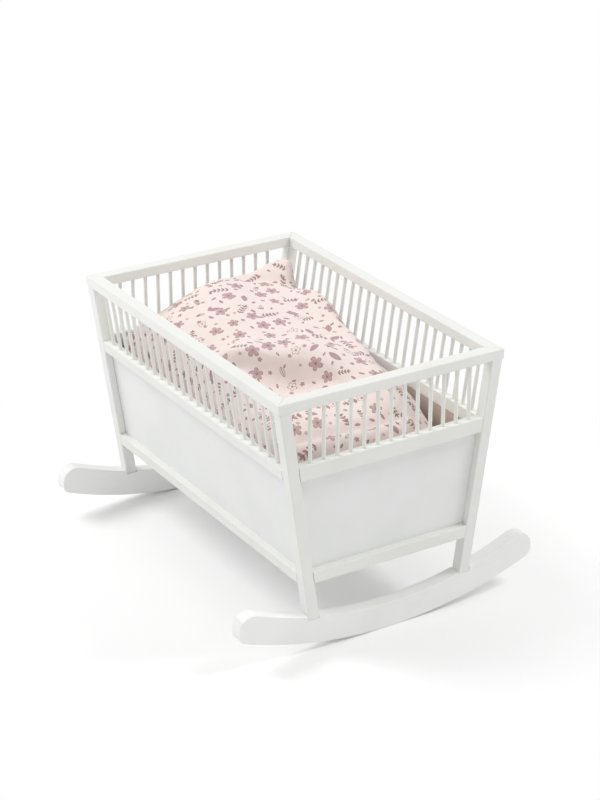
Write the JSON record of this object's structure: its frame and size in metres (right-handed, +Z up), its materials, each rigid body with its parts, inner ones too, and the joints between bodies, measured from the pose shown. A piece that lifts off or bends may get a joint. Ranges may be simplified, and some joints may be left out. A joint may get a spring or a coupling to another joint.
{
  "type": "doll cradle",
  "caption": "White slatted doll cradle with leaning sides on two curved rockers, with a mattress, a pillow and a thick printed duvet.",
  "frame": {"origin": "on the floor under the middle of the cradle, which rests there on the lowest line of its two rockers", "axes": "+X along the cot from the head end to the foot end, +Y from the front side to the back side, +Z up"},
  "size_m": [0.482, 0.427, 0.335],
  "materials": {
    "white_paint": "solid wood under satin white paint",
    "white_board": "thin fibreboard under satin white paint",
    "bare_beech": "unpainted turned beech, hidden in its holes",
    "mattress_cover": "plain woven cotton over foam",
    "bedding": "thin cotton over a down-like filling, pale pink with a small mauve print"
  },
  "bodies": {
    "cradle": {"head_front_leg": "white_paint", "head_front_dowel": "bare_beech", "head_back_leg": "white_paint", "head_back_dowel": "bare_beech", "foot_front_leg": "white_paint", "foot_front_dowel": "bare_beech", "foot_back_leg": "white_paint", "foot_back_dowel": "bare_beech", "head_rim_rail": "white_paint", "head_mid_rail": "white_paint", "head_bottom_rail": "white_paint", "head_panel": "white_board", "foot_rim_rail": "white_paint", "foot_mid_rail": "white_paint", "foot_bottom_rail": "white_paint", "foot_panel": "white_board", "front_rim_rail": "white_paint", "front_mid_rail": "white_paint", "front_bottom_rail": "white_paint", "front_panel": "white_board", "back_rim_rail": "white_paint", "back_mid_rail": "white_paint", "back_bottom_rail": "white_paint", "back_panel": "white_board", "head_rocker": "white_paint", "head_spindle_01": "white_paint", "head_spindle_02": "white_paint", "head_spindle_03": "white_paint", "head_spindle_04": "white_paint", "head_spindle_05": "white_paint", "head_spindle_06": "white_paint", "head_spindle_07": "white_paint", "head_spindle_08": "white_paint", "head_spindle_09": "white_paint", "head_spindle_10": "white_paint", "head_spindle_11": "white_paint", "head_spindle_12": "white_paint", "head_spindle_13": "white_paint", "foot_rocker": "white_paint", "foot_spindle_01": "white_paint", "foot_spindle_02": "white_paint", "foot_spindle_03": "white_paint", "foot_spindle_04": "white_paint", "foot_spindle_05": "white_paint", "foot_spindle_06": "white_paint", "foot_spindle_07": "white_paint", "foot_spindle_08": "white_paint", "foot_spindle_09": "white_paint", "foot_spindle_10": "white_paint", "foot_spindle_11": "white_paint", "foot_spindle_12": "white_paint", "foot_spindle_13": "white_paint", "base_board": "white_board"},
    "mattress": {"mattress": "mattress_cover"},
    "pillow": {"pillow": "bedding"},
    "duvet": {"duvet": "bedding"}
  },
  "joints": [
    {"name": "mattress_lift", "type": "slide", "parent": "cradle", "child": "mattress", "axis": [0, 0, 1], "range_m": [0, 0.26]},
    {"name": "pillow_lift", "type": "slide", "parent": "mattress", "child": "pillow", "axis": [0, 0, 1], "range_m": [0, 0.21]},
    {"name": "duvet_lift", "type": "slide", "parent": "pillow", "child": "duvet", "axis": [0, 0, 1], "range_m": [0, 0.21]}
  ]
}
